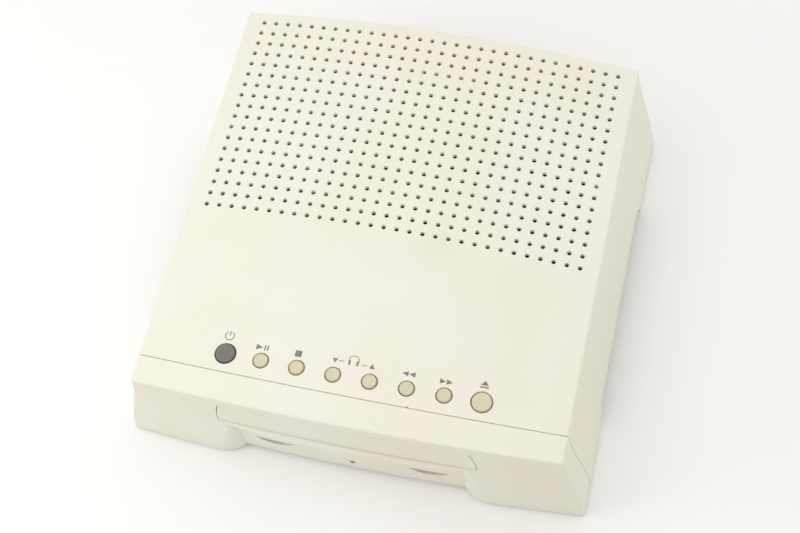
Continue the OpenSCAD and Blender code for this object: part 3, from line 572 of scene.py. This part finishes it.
def applyModifier(piece, kind, **settings):
    pick(piece)
    change = piece.modifiers.new(kind.lower(), kind)
    for key, value in settings.items():
        setattr(change, key, value)
    bpy.ops.object.modifier_apply(modifier=change.name)


def settle(piece, name, body, finish):
    pick(piece)
    bpy.ops.object.transform_apply(location=True, rotation=True, scale=True)
    piece.name = name
    piece.data.name = name
    piece.data.materials.clear()
    piece.data.materials.append(finish)
    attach(piece, body)


# a merged and smoothed copy of a node, to stand for it
copyLook = {
    "merge": 0.002 * mm,
    "flat": 1,          # degrees; faces this even are joined before an edge is rounded
    "corner": 40,       # degrees; sharper edges are rounded
    "faceWeight": 90,
}


def dressedCopy(nodeName, pieceName, degrees=30, finish=None, edge=0.0):
    look = copyLook
    pick(frame["nodes"][nodeName])
    bpy.ops.object.duplicate()
    piece = bpy.context.object
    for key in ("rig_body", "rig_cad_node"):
        if key in piece:
            del piece[key]
    piece.parent = None
    bpy.ops.mesh.customdata_custom_splitnormals_clear()
    bpy.ops.object.mode_set(mode="EDIT")
    bpy.ops.mesh.select_all(action="SELECT")
    bpy.ops.mesh.remove_doubles(threshold=look["merge"])
    if edge:
        bpy.ops.mesh.dissolve_limited(angle_limit=math.radians(look["flat"]))
    bpy.ops.object.mode_set(mode="OBJECT")
    if edge:
        applyModifier(piece, "BEVEL", width=edge, segments=2, limit_method="ANGLE",
                      angle_limit=math.radians(look["corner"]), use_clamp_overlap=True)
    smooth(piece, degrees)
    if edge:
        applyModifier(piece, "WEIGHTED_NORMAL", weight=look["faceWeight"], keep_sharp=True)
    slot = slotOf[nodeName]
    settle(piece, pieceName, bodyOf[nodeName], finish or finishes[slot])
    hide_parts(nodeName)
    return piece


# the shells' own slopes on their wide faces, which holes and noses would leave streaky
slopeLook = {
    "half": 120.0 * mm,
    "edge": 75.0 * mm,      # height of the cover's side edges
    "rise": 5.0 * mm,       # middle of the cover above them
    "bow": 4.6 * mm,        # middle of the front ahead of its ends
    "lean": 4.1 * mm,       # legs' feet ahead of the front
    "leanFrom": 26.0 * mm,  # below the edge
    "leanOver": 41.0 * mm,
    "near": 0.9985,         # likeness of a face to a slope that it takes
}


def crownSlope(x, z):
    return Vector((2 * slopeLook["rise"] * x / slopeLook["half"] ** 2, 0, 1)).normalized()


def bowSlope(x, z):
    return Vector((2 * slopeLook["bow"] * x / slopeLook["half"] ** 2, -1, 0)).normalized()


def leanSlope(x, z):
    look = slopeLook
    part = min(max((look["edge"] - z - look["leanFrom"]) / look["leanOver"], 0), 1)
    tilt = look["lean"] / look["leanOver"] * math.pi / 2 * math.sin(math.pi * part)
    return (bowSlope(x, z) + Vector((0, 0, tilt))).normalized()


def slopeShade(piece, *slopes):
    mesh = piece.data
    normals = [(0, 0, 0)] * len(mesh.loops)
    for face in mesh.polygons:
        likeness = [face.normal.dot(slope(face.center.x, face.center.z)) for slope in slopes]
        if max(likeness) > slopeLook["near"]:
            slope = slopes[likeness.index(max(likeness))]
            for corner in face.loop_indices:
                place = mesh.vertices[mesh.loops[corner].vertex_index].co
                normals[corner] = slope(place.x, place.z)
    mesh.normals_split_custom_set(normals)


# gives the faces that pass the test another finish
def paint(piece, finish, test):
    piece.data.materials.append(finish)
    for face in piece.data.polygons:
        if test(*face.center, face.normal):
            face.material_index = len(piece.data.materials) - 1


# a solid turned about an upright axis, from rings of radius and height
def turned(middle, rings, segments=64):
    clearChoice()
    bpy.ops.mesh.primitive_circle_add(vertices=segments, radius=rings[0][0], fill_type="NGON",
                                      location=(middle[0], middle[1], rings[0][1]))
    piece = bpy.context.object
    bpy.ops.object.mode_set(mode="EDIT")
    bpy.ops.mesh.select_all(action="SELECT")
    for (oldRadius, oldHeight), (radius, height) in zip(rings, rings[1:]):
        bpy.ops.mesh.extrude_region_move(TRANSFORM_OT_translate={"value": (0, 0, height - oldHeight)})
        grow = radius / oldRadius
        bpy.ops.transform.resize(value=(grow, grow, 1), center_override=(middle[0], middle[1], height))
    bpy.ops.mesh.select_all(action="SELECT")
    bpy.ops.mesh.normals_make_consistent(inside=False)
    bpy.ops.object.mode_set(mode="OBJECT")
    return piece


# housing
housingLook = {
    "frontSmooth": 50,      # degrees, for the rounded noses of the legs
    "coverEdge": 0.3 * mm,
    "footEdge": 0.5 * mm,
}
topShell = dressedCopy("top_cover", "top_shell", finish=finishes["top_plastic"])
frontShell = dressedCopy("front_bezel", "front_shell", housingLook["frontSmooth"])
slopeShade(topShell, crownSlope)
slopeShade(frontShell, crownSlope, bowSlope, leanSlope)
trayDoor = dressedCopy("tray_front", "tray_door")
slopeShade(trayDoor, bowSlope)
dressedCopy("base_pan", "base_shell")
dressedCopy("expansion_cover", "underside_cover", edge=housingLook["coverEdge"])
dressedCopy("rubber_feet", "soft_feet", edge=housingLook["footEdge"])
dressedCopy("disc_tray", "tray_plate")
print("shells dressed")


# buttons: a turned cap with a rounded edge and a shallow dish, on a flange and a stem
buttonLook = {
    "flange": 1.1 * mm,
    "slim": 0.2 * mm,      # cap drawn in from the hole, for a gap that shows
    "round": 0.6 * mm,
    "roundSteps": (30, 60, 90),
    "dish": 0.25 * mm,
    "dishSteps": (0.8, 0.6, 0.4, 0.2, 0.02),
    "stem": 1.8 * mm,
    "skirt": 3.6 * mm,     # cap's top down to the flange
    "flangeThick": 1.4 * mm,
    "smooth": 35,
}
buttonNames = ["power_button", "play_button", "stop_button", "volume_down_button", "volume_up_button",
               "rewind_button", "forward_button", "eject_button"]


def buttonRings(low, high):
    look = buttonLook
    top = high[2]
    outer = (high[0] - low[0]) / 2
    radius = outer - look["flange"] - look["slim"]
    shelf = top - look["skirt"]
    under = shelf - look["flangeThick"]
    rings = [(look["stem"], low[2]), (look["stem"], under), (outer, under), (outer, shelf),
             (radius, shelf), (radius, top - look["round"])]
    for degrees in look["roundSteps"]:
        inward = look["round"] * (1 - math.cos(math.radians(degrees)))
        downward = look["round"] * (1 - math.sin(math.radians(degrees)))
        rings.append((radius - inward, top - downward))
    for part in look["dishSteps"]:
        rings.append((radius * part, top - look["dish"] * (1 - part * part)))
    return rings


for nodeName in buttonNames:
    low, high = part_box(nodeName)
    middle = ((low[0] + high[0]) / 2, (low[1] + high[1]) / 2)
    cap = turned(middle, buttonRings(low, high))
    smooth(cap, buttonLook["smooth"])
    settle(cap, nodeName.replace("_button", "_cap"), bodyOf[nodeName],
           finishes[slotOf[nodeName]])
    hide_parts(nodeName)
print("buttons turned:", len(buttonNames))


# printed signs behind the buttons, as thin plates laid on the crowned cover
signLook = {
    "above": 84 * mm,      # drawn here, then laid down
    "gap": 0.015 * mm,
    "thick": 0.04 * mm,
    "line": 0.5,           # width of a drawn line, mm
    "thinLine": 0.4,
}
signParts = []


def keepSign():
    piece = bpy.context.object
    bpy.ops.object.transform_apply(location=True, rotation=True, scale=True)
    signParts.append(piece)


# sizes and places of the drawn shapes are in mm
def bar(x, y, wide, high):
    clearChoice()
    bpy.ops.mesh.primitive_plane_add(size=1, location=(x * mm, y * mm, signLook["above"]))
    bpy.context.object.scale = (wide * mm, high * mm, 1)
    keepSign()


def wedge(x, y, length, base, heading):
    clearChoice()
    bpy.ops.mesh.primitive_circle_add(vertices=3, radius=1, fill_type="NGON",
                                      location=(x * mm, y * mm, signLook["above"]),
                                      rotation=(0, 0, math.radians(heading)))
    bpy.context.object.scale = (base / math.sqrt(3) * mm, length / 1.5 * mm, 1)
    keepSign()


def loop(x, y, radius, line, openFrom, openTo):
    clearChoice()
    bpy.ops.mesh.primitive_circle_add(vertices=60, radius=(radius + line / 2) * mm, fill_type="NOTHING",
                                      location=(x * mm, y * mm, signLook["above"]))
    piece = bpy.context.object
    bpy.ops.object.mode_set(mode="EDIT")
    bpy.ops.mesh.select_all(action="SELECT")
    bpy.ops.mesh.extrude_edges_move()
    shrink = (radius - line / 2) / (radius + line / 2)
    bpy.ops.transform.resize(value=(shrink, shrink, 1))
    bpy.ops.mesh.select_all(action="DESELECT")
    bpy.ops.mesh.select_mode(type="FACE")
    bpy.ops.object.mode_set(mode="OBJECT")
    for face in piece.data.polygons:
        angle = math.degrees(math.atan2(face.center.y, face.center.x)) % 360
        face.select = openFrom < angle < openTo
    bpy.ops.object.mode_set(mode="EDIT")
    bpy.ops.mesh.delete(type="FACE")
    bpy.ops.object.mode_set(mode="OBJECT")
    keepSign()


up, left, down, right = 0, 90, 180, -90                 # headings, degrees
loop(-72.05, -86.5, 2.5, signLook["line"], 62, 118)     # power
bar(-72.0, -85.1, 0.55, 2.7)
wedge(-54.35, -90.0, 3.8, 3.2, right)                   # play and pause
bar(-50.6, -89.95, 0.8, 3.0)
bar(-49.0, -89.85, 0.8, 3.0)
bar(-31.6, -89.9, 3.7, 3.7)                             # stop
wedge(-10.95, -89.4, 2.7, 3.0, down)                    # volume, with headphones between
bar(-7.35, -89.5, 3.0, signLook["thinLine"])
loop(-0.73, -88.2, 2.85, signLook["thinLine"], 192, 348)
bar(-2.95, -89.5, 1.1, 2.8)
bar(1.5, -89.5, 1.1, 2.8)
bar(5.65, -89.7, 3.1, signLook["thinLine"])
wedge(9.75, -89.9, 2.9, 3.1, up)
wedge(28.8, -89.6, 3.4, 3.1, left)                      # rewind
wedge(32.6, -89.6, 3.4, 3.1, left)
wedge(48.45, -89.9, 3.3, 3.1, right)                    # forward
wedge(52.15, -89.9, 3.3, 3.1, right)
wedge(71.35, -86.6, 2.7, 4.4, up)                       # eject
bar(71.35, -88.6, 4.8, 0.8)
clearChoice()
for piece in signParts:
    piece.select_set(True)
signs = signParts[0]
bpy.context.view_layer.objects.active = signs
bpy.ops.object.join()
applyModifier(signs, "SHRINKWRAP", target=topShell, wrap_method="PROJECT", use_project_z=True,
              use_negative_direction=True, use_positive_direction=False, offset=signLook["gap"])
applyModifier(signs, "SOLIDIFY", thickness=signLook["thick"], offset=1.0)
settle(signs, "printed_signs", "console", finishes["printed_ink"])
print("signs laid on the cover:", len(signParts))


# controller ports, with gilt pins
portLook = {
    "middle": 45,           # mm to either side
    "pinPitch": 3,          # mm
    "pinDrop": 5.8 * mm,    # below the sockets' top
    "pinFrom": 2.9 * mm,    # behind their front
    "pinTo": 4.95 * mm,
    "pinReach": 0.6 * mm,
}


def nearRow(value, row, reach):
    return min(abs(value - place * mm) for place in row) < reach


portLow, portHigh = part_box("controller_ports")
pinHeight = portHigh[2] - portLook["pinDrop"]
pinFront = portLow[1] + portLook["pinFrom"]
pinBack = portLow[1] + portLook["pinTo"]
pinRow = [side * (portLook["middle"] + portLook["pinPitch"] * step)
          for side in (-1, 1) for step in (-1.5, -0.5, 0.5, 1.5)]
ports = dressedCopy("controller_ports", "port_sockets")
paint(ports, finishes["contact_gold"], lambda x, y, z, normal: pinFront < y < pinBack
      and abs(z - pinHeight) < portLook["pinReach"] and nearRow(x, pinRow, portLook["pinReach"]))

# rear panel and its sockets: places across and heights in mm, depths from the panel's face
rearLook = {
    "facing": 0.8,          # a face that looks to the rear has more of its normal there
    "metalFrom": -0.5 * mm,
    "jackEdge": 0.15 * mm,
    "jackEnd": 6 * mm,
    "jackReach": 3.7 * mm,
    "jacks": {29: "socket_yellow", 42: "socket_white", 55: "socket_red"},
    "rounds": (69, 83, 97),
    "roundHeight": 29.5,
    "roundCore": 4.45 * mm,
    "monitor": -4,
    "monitorHalf": 9 * mm,
    "monitorFace": 4.2 * mm,
    "monitorNear": 0.1 * mm,
    "inletPins": (-84.3, -75.7),
    "inletHeight": 35,
    "inletReach": 1.3 * mm,
    "inletFrom": -10 * mm,
    "knobEdge": 0.25 * mm,
}
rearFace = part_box("rear_panel")[1][1]
metalFrom = rearFace + rearLook["metalFrom"]
inletFrom = rearFace + rearLook["inletFrom"]


def fromRound(x, z):
    height = rearLook["roundHeight"] * mm
    return min(math.hypot(x - place * mm, z - height) for place in rearLook["rounds"])


dressedCopy("rear_panel", "rear_plate")
jacks = dressedCopy("audio_video_jacks", "jack_row", edge=rearLook["jackEdge"])
paint(jacks, finishes["plated_steel"], lambda x, y, z, normal: y > metalFrom)
for place, colour in rearLook["jacks"].items():
    paint(jacks, finishes[colour], lambda x, y, z, normal: normal.y > rearLook["facing"]
          and y > rearFace + rearLook["jackEnd"] and abs(x - place * mm) < rearLook["jackReach"])
rounds = dressedCopy("round_sockets", "round_socket_row")
paint(rounds, finishes["plated_steel"], lambda x, y, z, normal: y > metalFrom
      and fromRound(x, z) > rearLook["roundCore"])
monitor = dressedCopy("monitor_socket", "monitor_socket_shell")
paint(monitor, finishes["chip_plastic"], lambda x, y, z, normal: normal.y > rearLook["facing"]
      and abs(y - rearFace - rearLook["monitorFace"]) < rearLook["monitorNear"]
      and abs(x - rearLook["monitor"] * mm) < rearLook["monitorHalf"])
inlet = dressedCopy("mains_inlet", "mains_socket_body")
paint(inlet, finishes["plated_steel"], lambda x, y, z, normal: inletFrom < y < metalFrom
      and abs(z - rearLook["inletHeight"] * mm) < rearLook["inletReach"]
      and nearRow(x, rearLook["inletPins"], rearLook["inletReach"]))
dressedCopy("headphone_jack", "headphone_socket")
dressedCopy("display_switch", "switch_knob", edge=rearLook["knobEdge"])
dressedCopy("status_light", "light_lens")
print("sockets dressed")


# studio: pale floor, a large soft lamp and a low one to the left, even light all round
studio = {
    "lamps": [
        {"place": (-0.60, -0.15, 1.35), "size": 1.2, "power": 4.0},
        {"place": (-0.75, -0.45, 0.36), "size": 0.4, "power": 1.4},
    ],
    "level": 0.38,          # light from the level, more of it from the right, the back and overhead
    "right": 0.15,
    "back": 0.18,
    "overhead": 0.63,
    "floorSize": 6,
    "floor": srgb(252, 251, 249),
    "dusty": srgb(240, 240, 238),
    "dustAndShadeMost": 0.04,
    "backdrop": srgb(254, 253, 251),
    "fadeFrom": 0.22,       # the floor runs into the backdrop from here
    "fadeOver": 0.70,
}
clearChoice()
for look in studio["lamps"]:
    bpy.ops.object.light_add(type="AREA", location=look["place"])
    lamp = bpy.context.object
    lamp.data.size = look["size"]
    lamp.data.energy = look["power"]
    lamp.rotation_euler = (-lamp.location).to_track_quat("-Z", "Y").to_euler()

world = bpy.data.worlds.new("studio")
bpy.context.scene.world = world
world.use_nodes = True
skyTree = world.node_tree
background = skyTree.nodes["Background"]
seen = Wire(skyTree, skyTree.nodes.new("ShaderNodeLightPath").outputs["Is Camera Ray"])
seen = (seen + seen.beside("Is Glossy Ray") + seen.beside("Is Transmission Ray")).held()
plug(skyTree, background.inputs["Color"], mixColours(seen, seen, (1, 1, 1), studio["backdrop"]))
heading = seen.add("ShaderNodeTexCoord", None, None, "Generated")
east, north = flatPlace(heading)
height = east.beside(2).held()
light = studio["level"] + studio["right"] * east + studio["back"] * north + studio["overhead"] * height
plug(skyTree, background.inputs["Strength"], light + (1 - light) * seen)

bpy.ops.mesh.primitive_plane_add(size=studio["floorSize"])
floor = bpy.context.object
floor.name = "studio_floor"
floorFinish, floorPlace = startFinish("studio_floor")
floorTree = floorFinish.node_tree
dustAndShade = grain(floorPlace, 3.0) * studio["dustAndShadeMost"]
floor.data.materials.append(setShader(floorFinish, {
    "Base Color": mixColours(floorPlace, dustAndShade, studio["floor"], studio["dusty"]),
    "Roughness": 0.9, "Specular IOR Level": 0.1}))
far = floorPlace.add("ShaderNodeVectorMath", {"operation": "LENGTH"}, {0: floorPlace}, 1)
fade = ((far - studio["fadeFrom"]) / studio["fadeOver"]).held()
fade = fade * floorPlace.add("ShaderNodeLightPath", None, None, "Is Camera Ray")
white = floorPlace.add("ShaderNodeEmission", None, {"Color": studio["backdrop"]})
plain = Wire(floorTree, floorTree.nodes["Principled BSDF"].outputs[0])
blend = floorPlace.add("ShaderNodeMixShader", None, {0: fade, 1: plain, 2: white})
plug(floorTree, floorTree.nodes["Material Output"].inputs[0], blend)
print("studio lit")
